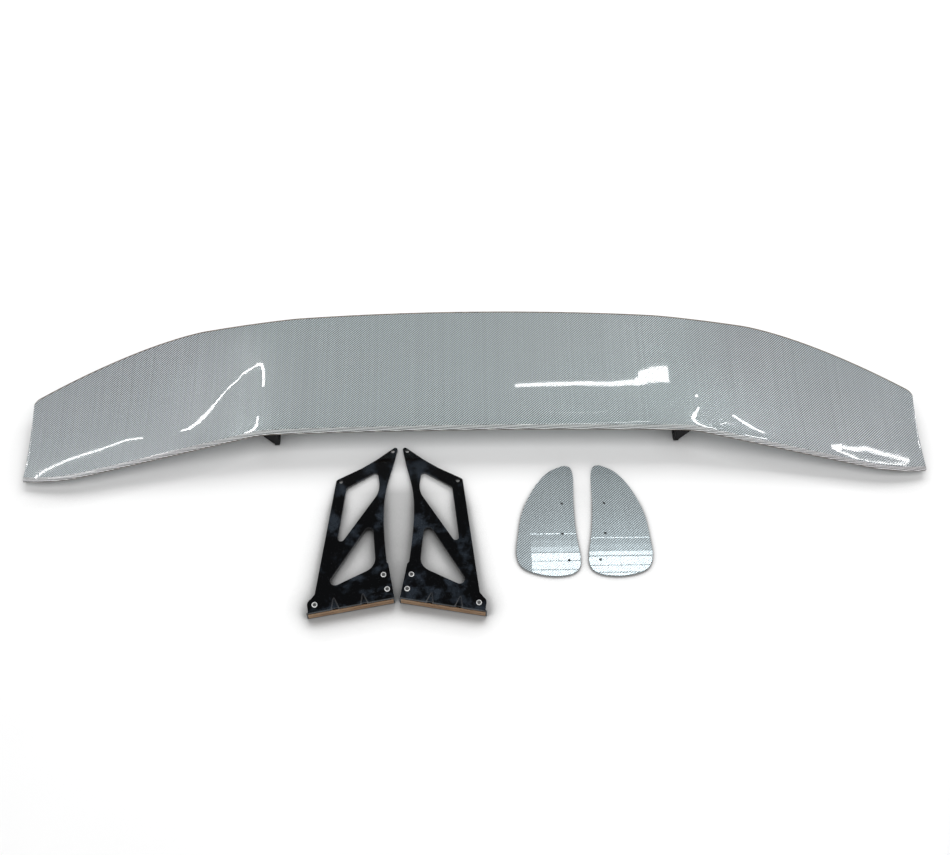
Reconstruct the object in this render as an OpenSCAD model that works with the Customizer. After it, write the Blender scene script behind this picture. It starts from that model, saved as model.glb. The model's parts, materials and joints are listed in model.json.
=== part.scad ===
// Racing rear wing, laid out as a kit: a swept gull blade standing on its two
// mounting lugs, with two flat uprights and two end plates lying in front of it.
// +X along the span, +Y towards the trailing edge, +Z up, millimetres.
// The origin is on the floor, under the middle of the whole kit.

/* [Blade] */
// Half of the span
half_span = 807; // [780:1:830]
// Distance from the middle to the crease where the outer wing starts
crease_x = 387; // [370:1:400]
// Half width over which the crease is blended
crease_blend = 18; // [12:1:24]
// Chord in plan at the middle
chord_mid = 237; // [225:1:250]
// Leading edge: how far its middle part bows towards the rear
le_bow = 5.6; // [0:0.1:10]
// Leading edge: forward sweep of the outer wing, per mm of span
le_sweep = 0.2; // [0.1:0.01:0.25]
// Leading edge: how far it curls back again at the tip
le_curl = 19; // [5:1:25]
// Leading edge: height above the floor at the middle
le_rise_mid = 56; // [52:1:64]
// Leading edge: height above the floor at the tip
le_rise_tip = 12; // [11:0.5:16]
// Trailing edge: how far its middle part bows forward, at 500 mm out
te_bow = 27.8; // [10:0.1:35]
// Trailing edge: extra forward sweep at the tip
te_sweep = 81; // [60:1:90]
// Trailing edge: height above the floor at the middle
te_rise_mid = 90; // [84:1:100]
// Trailing edge: height above the floor at the tip
te_rise_tip = 35; // [32:1:40]
// Greatest thickness over the chord at the middle
thick_mid = 0.11; // [0.1:0.005:0.13]
// Greatest thickness over the chord at the tip
thick_tip = 0.1; // [0.09:0.005:0.11]
// Depth of the hollow top over the chord at the middle
camber_mid = 0.055; // [0.04:0.001:0.06]
// Depth of the hollow top over the chord at the tip
camber_tip = 0.042; // [0.03:0.001:0.045]
// Extra depth of the dish just outside the crease
camber_dish = 0.022; // [0:0.001:0.025]
// Rolled nose of the outer wing: height of its flat top over the chord line
nose_h = 4.5; // [3.5:0.1:5.5]
// Rolled nose of the outer wing: depth from front to rear
nose_depth = 9.5; // [8:0.1:12]
// Thickness of each laminated skin
skin_t = 1.2; // [1:0.1:1.4]
// Thickness of the bonded seam between the skins
seam_t = 0.6; // [0.5:0.1:0.8]
// Full thickness of the blunt trailing edge
te_t = 3; // [2.8:0.1:3.4]

/* [Lugs] */
// Distance from the middle to the middle of each lug plate
lug_x = 364; // [358:1:368]
// Thickness of the lug plate
lug_t = 8; // [6:0.5:8]
// Width of the lug's flange under the blade
lug_flange_w = 24; // [20:1:26]
// Thickness of the lug's flange
lug_flange_t = 4; // [3:0.5:5]
// Length of the lug along the blade
lug_len = 142; // [138:1:150]
// Radius of the lug plate's lower corners
lug_r = 12; // [8:0.5:14]
// Radius of the mounting holes in lugs and uprights
mount_hole_r = 3.25; // [3.1:0.05:3.5]
// Distance from the pivot hole to the angle holes
hole_spacing = 110.5; // [109:0.5:112]

/* [Uprights] */
// Thickness of the upright plate
plate_t = 5; // [4:0.5:6]
// Thickness of the folded foot bracket
bracket_t = 3; // [2:0.5:3]
// Width of the foot from its free edge to the top of the bracket
foot_w = 20; // [18:1:22]
// Length of the foot
foot_len = 148; // [147:1:150]
// Turn of each upright on the floor, degrees
upright_turn = 10.3; // [0:0.1:14]
// X of the line midway between the two uprights
upright_mid_x = -140.5; // [-160:0.5:-130]
// Distance from that line to each foot's front end
upright_spread = 149.6; // [149:0.1:160]

/* [End plates] */
// Thickness of an end plate
end_plate_t = 3; // [2:0.5:4]
// Radius of an end plate's screw holes
end_hole_r = 2.2; // [2.1:0.05:2.4]
// X of the left end plate's middle hole
end_left_x = 145; // [135:1:150]
// X of the right end plate's middle hole
end_right_x = 220; // [215:1:230]
// Turn of the right end plate on the floor, degrees
end_right_turn = 4.2; // [0:0.1:6]

/* [Layout] */
// Distance from the feet to the middle of the blade's leading edge
feet_to_blade = 330.2; // [328:0.1:345]
// Distance from the feet to the end plates' middle holes
feet_to_end_plates = 149; // [140:1:155]

/* [Hidden] */
$fn = 48;

// The kit's depth runs from the tape on the feet to the trailing edge.
tape_t = 1;
y_feet = -(feet_to_blade + chord_mid - tape_t) / 2;
y_blade = y_feet + feet_to_blade;
y_end_plates = y_feet + feet_to_end_plates;

// Where the trailing edge's extra sweep and droop start
te_sweep_from = 500;
te_sweep_power = 1.56;
te_droop_from = 330;
te_droop_power = 1.25;
// Where the leading edge starts to curl back
le_curl_from = 690;
// The dish's middle and width, and the stretch over which it fades in
dish_x = 470;
dish_w = 110;
dish_fade = 40;
// Stretch of span over which the rolled nose with its flat top comes in
nose_from = 420;
nose_full = 700;
// Small gap between bonded pieces
bond_gap = 0.3;

// ---- shapes in general ----

// Zero, then a rounded start, then a straight climb
function ramp(d, r) = d <= -r ? 0 : d >= r ? d : (d + r) * (d + r) / (4 * r);
function clamp01(t) = max(0, min(1, t));
// Zero to one with a soft start and a soft end
function smooth(t) = let (u = clamp01(t)) u * u * (3 - 2 * u);
function unit(v) = v / norm(v);

// Points of one rounded corner c between its neighbours a and b
function corner(a, c, b, r, n = 8) =
    let (u = unit(a - c), v = unit(b - c), half = acos(u * v) / 2)
    let (reach = r / tan(half), mid = c + unit(u + v) * r / sin(half))
    let (p = c + u * reach - mid, q = c + v * reach - mid)
    let (turn = atan2(p[0] * q[1] - p[1] * q[0], p * q))
    [for (i = [0:n]) let (t = turn * i / n)
        mid + [p[0] * cos(t) - p[1] * sin(t), p[0] * sin(t) + p[1] * cos(t)]];

// Closed outline from [x, y, radius] corners, where radius 0 keeps the point
function rounded(pts) = [for (i = [0:len(pts) - 1])
    let (m = len(pts), a = pts[(i + m - 1) % m], c = pts[i], b = pts[(i + 1) % m])
    each c[2] == 0 ? [[c[0], c[1]]] : corner([a[0], a[1]], [c[0], c[1]], [b[0], b[1]], c[2])];

// Point of a smooth curve through p, between p1 and p2
function curve_point(p0, p1, p2, p3, t) =
    0.5 * (2 * p1 + (p2 - p0) * t + (2 * p0 - 5 * p1 + 4 * p2 - p3) * t * t
        + (3 * p1 - p0 - 3 * p2 + p3) * t * t * t);
function open_curve(p, n) = let (m = len(p) - 1)
    [for (i = [0:m - 1], k = [0:n - 1])
        curve_point(p[max(0, i - 1)], p[i], p[i + 1], p[min(m, i + 2)], k / n)];
function closed_curve(p, n) = let (m = len(p))
    [for (i = [0:m - 1], k = [0:n - 1])
        curve_point(p[(i + m - 1) % m], p[i], p[(i + 1) % m], p[(i + 2) % m], k / n)];

// Solid between matching rings, where ring point j faces ring point last - j
module loft(rings) {
    r = len(rings[0]);
    m = len(rings) - 1;
    sides = [for (i = [0:m - 1], j = [0:r - 1])
        let (a = i * r + j, b = i * r + (j + 1) % r)
        each [[a, b, b + r], [a, b + r, a + r]]];
    start = [for (j = [0:r / 2 - 2]) each [[j, r - 2 - j, j + 1], [j, r - 1 - j, r - 2 - j]]];
    end = [for (j = [0:r / 2 - 2]) let (k = m * r)
        each [[k + j, k + j + 1, k + r - 2 - j], [k + j, k + r - 2 - j, k + r - 1 - j]]];
    polyhedron(points = [for (ring = rings) each ring], faces = concat(sides, start, end));
}

// ---- the blade's surface ----

// Leading and trailing edge at a distance s from the middle, as [y, z]
function le_point(s) =
    let (out = ramp(s - crease_x, crease_blend), bow = min(s / crease_x, 1))
    let (curl = max(0, s - le_curl_from) / (half_span - le_curl_from))
    [y_blade - le_bow * bow * bow - le_sweep * out + le_curl * curl * curl,
     le_rise_mid - (le_rise_mid - le_rise_tip) * out / (half_span - crease_x)];
function te_point(s) =
    let (sweep = max(0, s - te_sweep_from) / (half_span - te_sweep_from))
    let (droop = max(0, s - te_droop_from) / (half_span - te_droop_from))
    [y_blade + chord_mid - te_bow * pow(s / te_sweep_from, 2) - te_sweep * pow(sweep, te_sweep_power),
     te_rise_mid - (te_rise_mid - te_rise_tip) * pow(droop, te_droop_power)];

function out_share(s) = clamp01((s - crease_x) / (half_span - crease_x));
function dish(s) = camber_dish * exp(-pow((s - dish_x) / dish_w, 2))
    * smooth((s - crease_x + dish_fade) / (2 * dish_fade));
function camber(s) = camber_mid + (camber_tip - camber_mid) * out_share(s) + dish(s);
function thick(s) = thick_mid + (thick_tip - thick_mid) * out_share(s);
// Half thickness of the section over its full thickness
function half_section(xi) = 5 * (0.2969 * sqrt(xi) - 0.126 * xi - 0.3516 * pow(xi, 2)
    + 0.2843 * pow(xi, 3) - 0.1036 * pow(xi, 4));

// Height of the flat top behind the rolled nose, over a chord of length c
function rolled_nose(xi, c) = let (t = min(1, xi * c / nose_depth))
    nose_h * (1 - xi) * sqrt(1 - (1 - t) * (1 - t));
function nose_share(s) = smooth((s - nose_from) / (nose_full - nose_from));

// Outer surface at q from 0, leading edge, to 1, trailing edge. side is 1 on top, -1 below.
function skin_point(s, q, side) =
    let (xi = q * q, a = le_point(s), chord = te_point(s) - a, c = norm(chord))
    let (up = [-chord[1], chord[0]] / c)
    let (even = half_section(xi) * thick(s) * c)
    let (top = even + (rolled_nose(xi, c) - even) * nose_share(s))
    let (half_t = (side > 0 ? top : 2 * even - top) + (te_t - seam_t) / 2 * xi + seam_t / 2)
    a + chord * xi + up * (side * half_t - 4 * camber(s) * c * xi * (1 - xi));
// The same surface moved inwards by a depth
function inset(s, q, side, depth) =
    let (step = 0.01)
    let (t = unit(skin_point(s, min(1, q + step), side) - skin_point(s, max(0, q - step), side)))
    skin_point(s, q, side) - depth * side * [-t[1], t[0]];
function at_x(x, p) = [x, p[0], p[1]];

// Stations along the span, close together at the creases
half_stations = let (a = crease_x - 2 * crease_blend, b = crease_x + 2 * crease_blend)
    concat([for (i = [0:5]) a * i / 6], [for (i = [0:7]) a + (b - a) * i / 8],
        [for (i = [0:13]) b + (half_span - b) * i / 13]);
stations = concat([for (i = [len(half_stations) - 1:-1:1]) -half_stations[i]], half_stations);
function stations_within(x) = concat([-x], [for (s = stations) if (abs(s) < x - 1) s], [x]);

chord_steps = 14;

module skin(side) {
    qs = [for (j = [0:chord_steps]) j / chord_steps];
    back = [for (j = [chord_steps:-1:0]) j / chord_steps];
    outer = side > 0 ? 0 : skin_t;
    inner = side > 0 ? skin_t : 0;
    loft([for (x = stations) concat(
        [for (q = qs) at_x(x, inset(abs(x), q, side, outer))],
        [for (q = back) at_x(x, inset(abs(x), q, side, inner))])]);
}

// Solid filling the cavity from chord share xi_a to xi_b over the given stations
module core(xs, xi_a, xi_b, steps, gap) {
    qa = sqrt(xi_a);
    dq = (sqrt(xi_b) - qa) / steps;
    depth = skin_t + gap;
    loft([for (x = xs) concat(
        [for (j = [0:steps]) at_x(x, inset(abs(x), qa + dq * j, 1, depth))],
        [for (j = [steps:-1:0]) at_x(x, inset(abs(x), qa + dq * j, -1, depth))])]);
}

// Clearance all round a bonded strip
bond_play = 0.1;
// How far the nose seam reaches back
nose_seam_reach = 1.5;
// Where the rear seam starts, as a share of the skins' last chord step
rear_seam_from = 0.8;

// Thin strip standing in the seam behind the nose
module nose_seam() {
    half = seam_t / 2 - bond_play;
    loft([for (x = stations)
        let (a = le_point(abs(x)), along = unit(te_point(abs(x)) - a), up = [-along[1], along[0]])
        [at_x(x, a + up * half), at_x(x, a + along * nose_seam_reach + up * half),
         at_x(x, a + along * nose_seam_reach - up * half), at_x(x, a - up * half)]]);
}

// Point just inside a skin's inner face, at share t of its last chord step
function last_step(s, t, side) =
    let (depth = skin_t + bond_play)
    let (p = inset(s, 1 - 1 / chord_steps, side, depth), q = inset(s, 1, side, depth))
    p + (q - p) * t;
// Wedge that closes the blade along its trailing edge
module rear_seam() {
    loft([for (x = stations)
        [for (c = [[rear_seam_from, 1], [1, 1], [1, -1], [rear_seam_from, -1]])
            at_x(x, last_step(abs(x), c[0], c[1]))]]);
}

module upper_skin() { color("silver") skin(1); }

// Screws that hold the lugs: places along the chord, and their size
lug_screw_y = [75, 125];
lug_screw_r = 2.5;
lug_screw_len = 16;
lug_screw_play = 0.3;
lug_head_r = 4.75;
lug_head_h = 2.7;
lug_socket_r = 1.7;
lug_screw_x = lug_x + lug_flange_w / 2;
chord_angle = atan2(te_rise_mid - le_rise_mid, chord_mid);
// Place on the blade's underside over each lug screw
function under_blade(y) = skin_point(lug_screw_x, sqrt(y / chord_mid), -1);
module at_lug_screws(side) {
    for (y = lug_screw_y) {
        p = under_blade(y);
        translate([side * lug_screw_x, p[0], p[1]]) rotate([chord_angle, 0, 0]) children();
    }
}
module lug_screw_hole(h) { cylinder(r = lug_screw_r + lug_screw_play, h = h, center = true); }

module lower_skin() {
    color("silver") difference() {
        skin(-1);
        for (side = [-1, 1]) at_lug_screws(side) lug_screw_hole(12);
    }
}

module edge_bond() {
    color("tan") {
        nose_seam();
        rear_seam();
    }
}

// Where each spar stands, as shares of the chord
spar_end = half_span - 16;
front_spar_xi = [0.19, 0.24];
rear_spar_xi = [0.67, 0.7];
module spar(xi) { color("dimgray") core(stations_within(spar_end), xi[0], xi[1], 1, bond_gap); }
module front_spar() { spar(front_spar_xi); }
module rear_spar() { spar(rear_spar_xi); }

// Solid block between the spars that the lug screws bite into
hardpoint_w = 44;
module hardpoint(side) {
    clear_xi = 0.02;
    from = side * (lug_x + lug_flange_w / 4) - hardpoint_w / 2;
    xs = [for (i = [0:4]) from + hardpoint_w * i / 4];
    color("burlywood") difference() {
        core(xs, front_spar_xi[1] + clear_xi, rear_spar_xi[0] - clear_xi, 4, bond_gap);
        at_lug_screws(side) cylinder(r = lug_screw_r + 0.05, h = 40, center = true);
    }
}

// Closing rib at the tip, with threaded inserts for the end plate's screws
tip_screw_xi = [0.09, 0.47, 0.8];
rib_t = 12;
insert_r = 3;
insert_bore_r = 1.65;
function tip_screw(xi) = (skin_point(half_span, sqrt(xi), 1) + skin_point(half_span, sqrt(xi), -1)) / 2;
module at_tip_screws(side) {
    for (xi = tip_screw_xi)
        translate(at_x(side * half_span, tip_screw(xi))) rotate([0, -90 * side, 0]) children();
}
module tip_rib(side) {
    from = side > 0 ? half_span - 1 - rib_t : -half_span + 1;
    color("dimgray") difference() {
        core([from, from + rib_t], 0.03, 0.92, 10, bond_gap);
        at_tip_screws(side) translate([0, 0, -1]) cylinder(r = insert_r + 0.05, h = rib_t + 4);
    }
}
module tip_inserts() {
    color("goldenrod") for (side = [-1, 1]) at_tip_screws(side) translate([0, 0, 1]) difference() {
        cylinder(r = insert_r, h = rib_t);
        translate([0, 0, -1]) cylinder(r = insert_bore_r, h = rib_t + 2);
    }
}

// ---- lugs under the blade ----

lug_front_y = le_point(lug_x)[0] + 6;
lug_pivot = [lug_front_y + 16, 14];
// Rises from the pivot hole to each angle hole, degrees
lug_angles = [2, 7.5, 13];
// The flange follows the blade's underside between these shares of the chord
lug_from_xi = 0.0256;
lug_to_xi = 0.61;
flange_steps = 14;
function underside(x, drop) = let (qa = sqrt(lug_from_xi), qb = sqrt(lug_to_xi))
    [for (i = [0:flange_steps]) inset(x, qa + (qb - qa) * i / flange_steps, -1, -bond_gap - drop)];
// From a [y, z] outline to a plate standing along the chord, from x = 0 to x = t
module standing(t) { rotate([90, 0, 90]) linear_extrude(t) children(); }

// Sloping web that braces the lug's front from the plate out to the flange
web_t = 5;
web_setback = 3;
web_foot_z = 6;
web_top_z = 38;
web_reach = lug_flange_w - lug_t / 2;

// The lug on the right, its flange towards the tip
module lug_body() {
    inner = lug_x - lug_t / 2;
    outer = inner + lug_flange_w;
    // The plate ends inside the flange
    top = underside(inner + lug_t, 1);
    rear_y = lug_front_y + lug_len;
    sole = rounded([[rear_y, top[flange_steps][1], 0], [rear_y, 0, lug_r], [lug_front_y, 0, lug_r],
        [lug_front_y, top[0][1] - 3, 0]]);
    translate([inner, 0, 0]) standing(lug_t) polygon(concat(top, sole));
    loft([for (x = concat([inner], [for (s = stations) if (s > inner + 1 && s < outer - 1) s], [outer]))
        let (upper = underside(x, 0), lower = underside(x, lug_flange_t))
        concat([for (p = upper) at_x(x, p)], [for (i = [flange_steps:-1:0]) at_x(x, lower[i])])]);
    translate([lug_x, lug_front_y + web_setback + web_t, 0]) rotate([90, 0, 0]) linear_extrude(web_t)
        polygon([[0, web_foot_z], [lug_t / 2, web_foot_z], [web_reach, web_top_z - 4],
            [web_reach, web_top_z], [0, web_top_z]]);
}
module lug_holes() {
    across = [for (a = lug_angles) lug_pivot + hole_spacing * [cos(a), sin(a)]];
    for (p = concat([lug_pivot], across))
        translate([lug_x, p[0], p[1]]) rotate([0, 90, 0])
            cylinder(r = mount_hole_r, h = lug_t + 12, center = true);
}
// Depth of the flat seat cut for each screw head, and the open height below it
seat_depth = 0.8;
seat_clear = 10;
module lug(side) {
    color("black") difference() {
        mirror([side > 0 ? 0 : 1, 0, 0]) difference() {
            lug_body();
            lug_holes();
        }
        at_lug_screws(side) {
            lug_screw_hole(20);
            translate([0, 0, -lug_flange_t - seat_clear])
                cylinder(r = lug_head_r + 0.65, h = seat_clear + seat_depth);
        }
    }
}
module lug_screws() {
    color("silver") for (side = [-1, 1]) at_lug_screws(side)
        translate([0, 0, seat_depth - 0.05 - lug_flange_t]) rotate([180, 0, 0])
            button_screw(lug_screw_r, lug_head_r, lug_head_h, lug_screw_len, lug_socket_r);
}

// ---- fasteners ----

// Corner radius of a hexagon over half its width across flats
hex_r = 1 / cos(30);
screw_tip = 0.4;
socket_depth = 1.8;

// Button-head socket screw whose head stands on z = 0 and whose shank goes down
module button_screw(r, head_r, head_h, length, socket_r) {
    shank = [[0, -length], [r - screw_tip, -length], [r, screw_tip - length], [r, 0]];
    // The dome ends in a small flat round the socket
    dome = [for (i = [0:6]) [head_r * cos(13.5 * i), head_h * sin(15 * i)]];
    difference() {
        rotate_extrude() polygon(concat(shank, dome, [[0, head_h]]));
        translate([0, 0, head_h - socket_depth]) cylinder(r = socket_r * hex_r, h = 4, $fn = 6);
    }
}
module washer(r, bore_r, t) {
    difference() {
        cylinder(r = r, h = t);
        translate([0, 0, -1]) cylinder(r = bore_r, h = t + 2);
    }
}
// Lock nut hanging below z = 0, with a round collar on its far end
module lock_nut(flats, bore_r, height) {
    collar = 1.2;
    difference() {
        union() {
            translate([0, 0, collar - height]) cylinder(r = flats / 2 * hex_r, h = height - collar, $fn = 6);
            translate([0, 0, -height]) cylinder(d = flats - 1, h = 2);
        }
        translate([0, 0, -height - 1]) cylinder(r = bore_r, h = height + 2);
    }
}

// ---- uprights ----

// Drawn lying down: x along the foot from front to rear, y up the plate from the
// foot's outer face, z = 0 on the plate's hidden side.
rear_edge = [[147, 3.5], [145.4, 61], [149, 118], [155.7, 168], [166.8, 211], [189.2, 263]];
top_edge = [[160, 276.2], [130, 263], [106, 255.2]];
plate_outline = rounded(concat(
    [[5, 3.5, 1], [147, 3.5, 1]],
    [for (p = open_curve(rear_edge, 5)) if (p[1] > 20) [p[0], p[1], 0]],
    [[189.2, 263, 0], [204, 300, 4.2]],
    [for (p = top_edge) [p[0], p[1], 0]],
    [[82.5, 247.5, 7], [17.5, 34, 5], [5, 22, 9]]));
upper_opening = rounded([[157.5, 251.5, 6], [156, 211, 45], [62.6, 108, 5.6], [98, 228, 8]]);
lower_opening = rounded([[134, 157.5, 8], [125.8, 65, 26], [28.8, 35.4, 8.6]]);
leg_outline = rounded([[3, 0.5, 0], [3, 22.5, 11], [146.2, 69.5, 3], [147.6, 0.5, 0]]);
bracket_holes = [[15.5, 13.2], [138.4, 17.9], [136.4, 45.3]];
rear_mount = [191.2, 288];
front_mount = [90.4, 242.7];
screw_r = 3;
dart_x = [48, 97];
dart_reach = 21;
dart_side = 3;
dart_slope = 5.5;

leg_z = plate_t;
top_z = plate_t + bracket_t;
foot_drop = foot_w - top_z;
tip_y = max([for (p = plate_outline) p[1]]);
plate_tilt = atan(foot_drop / (tip_y - bracket_t));
plate_lift = tip_y * sin(plate_tilt);

// Lays an upright on the floor: the tip and the foot's free edge touch it
module lay_upright(side) {
    translate([upright_mid_x, 0, 0]) mirror([side > 0 ? 1 : 0, 0, 0])
        translate([-upright_spread, y_feet, plate_lift]) rotate([0, 0, upright_turn])
            rotate([-plate_tilt, 0, 0]) children();
}
module at_bracket_holes(z) {
    for (p = bracket_holes) translate([p[0], p[1], z]) children();
}

module upright_plate(side) {
    color("#141517") lay_upright(side) difference() {
        linear_extrude(plate_t) polygon(plate_outline);
        translate([0, 0, -1]) linear_extrude(plate_t + 2) polygon(upper_opening);
        translate([0, 0, -1]) linear_extrude(plate_t + 2) polygon(lower_opening);
        for (p = [rear_mount, front_mount])
            translate([p[0], p[1], -1]) cylinder(r = mount_hole_r, h = plate_t + 2);
        at_bracket_holes(-1) cylinder(r = screw_r + 0.25, h = plate_t + 2);
    }
}

// Folded bracket: a leg on the plate and a foot turned down, stiffened by pressed darts
module foot_bracket(side) {
    bend_r = 2.5;
    fold = rounded([[8, top_z, 0], [8, leg_z, 0], [bracket_t, leg_z, 0],
        [bracket_t, -foot_drop, 0.5], [0, -foot_drop, 0.5], [0, top_z, bend_r]]);
    color("#141517") lay_upright(side) difference() {
        union() {
            translate([0, 0, leg_z]) linear_extrude(bracket_t)
                intersection() {
                    polygon(leg_outline);
                    translate([0, bend_r]) square([foot_len + 2, foot_len]);
                }
            standing(foot_len) polygon(fold);
        }
        at_bracket_holes(0) cylinder(r = screw_r + 0.25, h = 20);
        // Each dart is a groove that fades out up the leg
        for (x = dart_x) translate([x, dart_reach + 5, top_z])
            rotate([dart_slope, 0, 0]) rotate([0, 45, 0])
                translate([-dart_side / 2, -2 * dart_reach, -dart_side / 2])
                    cube([dart_side, 2 * dart_reach, dart_side]);
    }
}
module foot_tape(side) {
    margin = 2.2;
    color("tan") lay_upright(side) translate([margin, -tape_t, -foot_drop + margin])
        cube([foot_len - 2 * margin, tape_t, foot_w - 2 * margin - 2]);
}

head_r = 5.25;
head_h = 3.3;
socket_r = 2;
washer_r = 6;
washer_t = 1.6;
nut_flats = 10;
nut_h = 5;
screw_end = 0.8;
module bracket_screws(side) {
    color("silver") lay_upright(side) at_bracket_holes(top_z)
        button_screw(screw_r, head_r, head_h, top_z + washer_t + nut_h + screw_end, socket_r);
}
module bracket_washers(side) {
    color("silver") lay_upright(side) at_bracket_holes(-washer_t)
        washer(washer_r, screw_r + 0.2, washer_t);
}
module bracket_nuts(side) {
    color("silver") lay_upright(side) at_bracket_holes(-washer_t)
        lock_nut(nut_flats, screw_r + 0.05, nut_h);
}

// ---- end plates ----

// Outline of the left plate about its middle hole, its straight side to the right
straight_side = [[23, 128], [25.5, 106], [22.5, 56], [23.5, 5], [28.3, -42], [25, -66]];
front_end = [[8, -77.5], [-22, -79.5], [-52, -73.5], [-74, -61], [-81.5, -38]];
bowed_side = [[-78, -5], [-68, 44], [-45, 92], [-20, 121], [3, 133], [15, 134.5]];
end_outline = closed_curve(concat(straight_side, front_end, bowed_side), 4);
end_holes = [[2, 59], [0, 0], [8.5, -51]];
module end_plate_body() {
    difference() {
        linear_extrude(end_plate_t) polygon(end_outline);
        for (p = end_holes) translate([p[0], p[1], -1]) cylinder(r = end_hole_r, h = end_plate_t + 2);
    }
}
module left_end_plate() {
    color("gainsboro") translate([end_left_x, y_end_plates, 0]) end_plate_body();
}
module right_end_plate() {
    color("gainsboro") translate([end_right_x, y_end_plates, 0]) mirror([1, 0, 0])
        rotate([0, 0, end_right_turn]) end_plate_body();
}

upper_skin();
lower_skin();
edge_bond();
front_spar();
rear_spar();
hardpoint(-1);  // left_hardpoint
hardpoint(1);  // right_hardpoint
tip_rib(-1);  // left_tip_rib
tip_rib(1);  // right_tip_rib
tip_inserts();
lug(-1);  // left_lug
lug(1);  // right_lug
lug_screws();
upright_plate(-1);  // left_upright_plate
foot_bracket(-1);  // left_foot_bracket
foot_tape(-1);  // left_foot_tape
bracket_screws(-1);  // left_bracket_screws
bracket_washers(-1);  // left_bracket_washers
bracket_nuts(-1);  // left_bracket_nuts
upright_plate(1);  // right_upright_plate
foot_bracket(1);  // right_foot_bracket
foot_tape(1);  // right_foot_tape
bracket_screws(1);  // right_bracket_screws
bracket_washers(1);  // right_bracket_washers
bracket_nuts(1);  // right_bracket_nuts
left_end_plate();
right_end_plate();
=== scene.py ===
"""Racing rear wing, laid out as a kit on a pale floor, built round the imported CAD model.

Everything is in metres in the row frame: +X along the span, +Y towards the blade's
trailing edge, +Z up. The blade's formulas are those of the CAD source, at a finer step.
"""

import json
import math

import bmesh
import bpy
import numpy as np
from mathutils import Matrix, Vector

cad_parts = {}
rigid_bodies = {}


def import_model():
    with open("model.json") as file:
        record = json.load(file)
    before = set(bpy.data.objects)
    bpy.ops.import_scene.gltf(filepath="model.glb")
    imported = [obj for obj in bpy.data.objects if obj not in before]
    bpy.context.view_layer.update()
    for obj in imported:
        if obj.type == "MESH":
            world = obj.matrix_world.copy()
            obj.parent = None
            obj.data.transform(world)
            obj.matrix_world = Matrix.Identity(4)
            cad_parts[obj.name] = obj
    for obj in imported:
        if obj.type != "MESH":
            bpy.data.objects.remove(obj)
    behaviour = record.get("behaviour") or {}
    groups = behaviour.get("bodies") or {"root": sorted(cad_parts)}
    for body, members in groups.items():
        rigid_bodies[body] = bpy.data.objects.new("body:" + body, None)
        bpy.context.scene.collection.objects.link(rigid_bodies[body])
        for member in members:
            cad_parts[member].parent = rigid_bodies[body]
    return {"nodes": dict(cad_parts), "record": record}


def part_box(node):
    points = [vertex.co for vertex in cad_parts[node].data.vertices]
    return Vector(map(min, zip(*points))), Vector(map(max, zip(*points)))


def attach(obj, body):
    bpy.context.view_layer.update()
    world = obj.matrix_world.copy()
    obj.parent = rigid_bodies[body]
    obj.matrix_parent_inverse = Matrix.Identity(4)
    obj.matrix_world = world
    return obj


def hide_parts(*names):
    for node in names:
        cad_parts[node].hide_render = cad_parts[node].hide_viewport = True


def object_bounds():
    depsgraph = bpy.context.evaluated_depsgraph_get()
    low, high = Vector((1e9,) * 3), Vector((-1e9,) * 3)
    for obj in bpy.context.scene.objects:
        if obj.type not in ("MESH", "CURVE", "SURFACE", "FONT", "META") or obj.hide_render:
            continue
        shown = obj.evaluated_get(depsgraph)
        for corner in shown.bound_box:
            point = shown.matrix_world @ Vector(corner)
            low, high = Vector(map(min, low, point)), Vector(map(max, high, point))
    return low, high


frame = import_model()
cad_low, cad_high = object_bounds()
MM = 0.001
FLOOR_Z = cad_low.z
MOUNTS = {m["name"]: m for m in frame["record"]["mounts"]}


# ---- shader helper ----

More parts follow.
